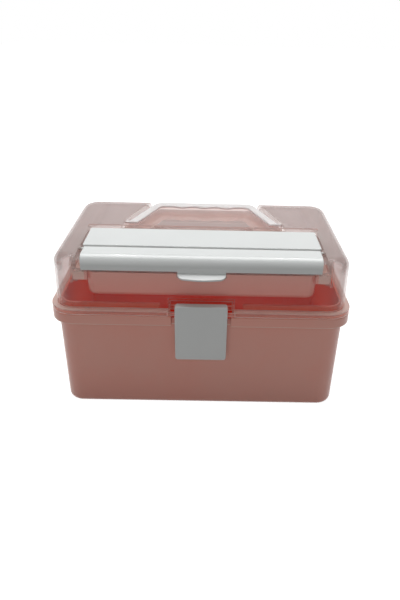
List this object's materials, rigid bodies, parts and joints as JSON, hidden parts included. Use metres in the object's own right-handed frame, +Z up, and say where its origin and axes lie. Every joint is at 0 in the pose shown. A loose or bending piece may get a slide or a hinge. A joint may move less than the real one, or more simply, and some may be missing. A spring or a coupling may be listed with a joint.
{
  "type": "medicine box",
  "caption": "Portable medicine box with a hinged clear lid, a flap compartment in the lid, a folding carry handle and a front latch.",
  "frame": {"origin": "middle of the tub's flat underside", "axes": "+X to the right seen from the latch side, +Y to the rear hinge, +Z up"},
  "size_m": [0.26, 0.1764, 0.1471],
  "materials": {
    "tub_pink": "smooth translucent rose plastic",
    "lid_clear": "clear, slightly milky plastic",
    "bin_pink": "smooth translucent rose plastic",
    "white_plastic": "satin white plastic",
    "pin_steel": "drawn steel pin"
  },
  "bodies": {
    "base": {"base_tub": "tub_pink", "lid_hinge_pin_left": "pin_steel", "lid_hinge_pin_right": "pin_steel"},
    "lid": {"lid_shell": "lid_clear", "compartment_bin": "bin_pink", "compartment_cover": "white_plastic"},
    "latch": {"front_latch": "white_plastic"},
    "handle": {"carry_handle": "white_plastic"},
    "flap": {"compartment_flap": "white_plastic"}
  },
  "joints": [
    {"name": "lid_hinge", "type": "hinge", "parent": "base", "child": "lid", "pos_m": [0, 0.086, 0.09485], "axis": [-1, 0, 0], "range_deg": [0, 105]},
    {"name": "latch_pivot", "type": "hinge", "parent": "lid", "child": "latch", "pos_m": [0, -0.0812, 0.097], "axis": [-1, 0, 0], "range_deg": [0, 80]},
    {"name": "handle_pivot", "type": "hinge", "parent": "lid", "child": "handle", "pos_m": [0, 0.0141, 0.1441], "axis": [1, 0, 0], "range_deg": [0, 90]},
    {"name": "flap_pivot", "type": "hinge", "parent": "lid", "child": "flap", "pos_m": [0, -0.0531, 0.1436], "axis": [-1, 0, 0], "range_deg": [0, 105]}
  ]
}
